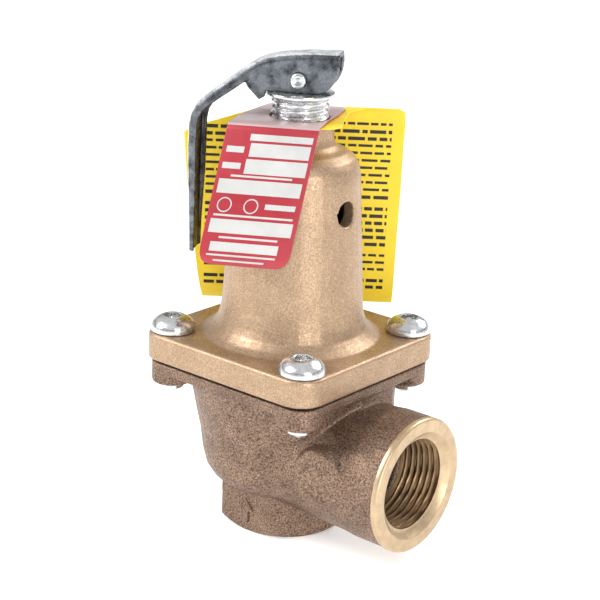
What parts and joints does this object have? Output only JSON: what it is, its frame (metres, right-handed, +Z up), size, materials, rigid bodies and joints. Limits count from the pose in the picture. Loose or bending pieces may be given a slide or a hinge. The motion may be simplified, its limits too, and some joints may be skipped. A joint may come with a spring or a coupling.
{
  "type": "pressure relief valve",
  "caption": "Angle-pattern pressure relief valve: cast bronze body and square bolted bonnet, threaded inlet and outlet, spring-loaded diaphragm disc, and a test lever on top.",
  "frame": {"origin": "centre of the inlet's lower face, on the valve axis", "axes": "+Z up along the valve axis, +X out of the outlet, -Z out of the inlet"},
  "size_m": [0.0802, 0.0657, 0.128],
  "materials": {
    "cast_bronze_rough": "sand-cast bronze, grainy and matt, with machined pale port faces",
    "cast_bronze_smooth": "smooth tumbled cast bronze, tan, low gloss",
    "brass": "turned brass, satin",
    "zinc_plate": "bright zinc-plated steel",
    "steel": "plain turned steel, satin",
    "spring_steel": "oil-tempered spring wire",
    "rubber": "black moulded rubber, matt",
    "red_enamel": "red-enamelled aluminium sheet with bare silver panels",
    "yellow_card": null
  },
  "bodies": {
    "housing": {"valve_body": "cast_bronze_rough", "bonnet": "cast_bronze_smooth", "cover_screw_1": "zinc_plate", "cover_screw_2": "zinc_plate", "cover_screw_3": "zinc_plate", "cover_screw_4": "zinc_plate", "diaphragm": "rubber", "spring": "spring_steel", "upper_spring_button": "steel", "adjusting_screw": "zinc_plate", "lift_washer": "zinc_plate", "nameplate": "red_enamel", "warning_tag": "yellow_card"},
    "spindle": {"stem": "steel", "disc_holder": "brass", "seat_disc": "rubber", "disc_washer": "brass", "disc_screw": "brass", "pressure_plate": "steel", "stem_nut": "zinc_plate", "lower_spring_button": "steel", "lever_rivet": "zinc_plate"},
    "lever": {"test_lever": "zinc_plate"}
  },
  "joints": [
    {"name": "valve_lift", "type": "slide", "parent": "housing", "child": "spindle", "axis": [0, 0, 1], "range_m": [0, 0.00389], "stiffness_N_per_m": 6000, "springref_m": -0.006, "deforming": ["spring", "diaphragm"]},
    {"name": "lever_swing", "type": "hinge", "parent": "spindle", "child": "lever", "pos_m": [0, 0, 0.1206], "axis": [-0.4848, 0.8746, 0], "range_deg": [0, 50]}
  ],
  "couplings": [
    {"joint": "lever_swing", "follows": "valve_lift", "rad_per_m": 224.22}
  ]
}
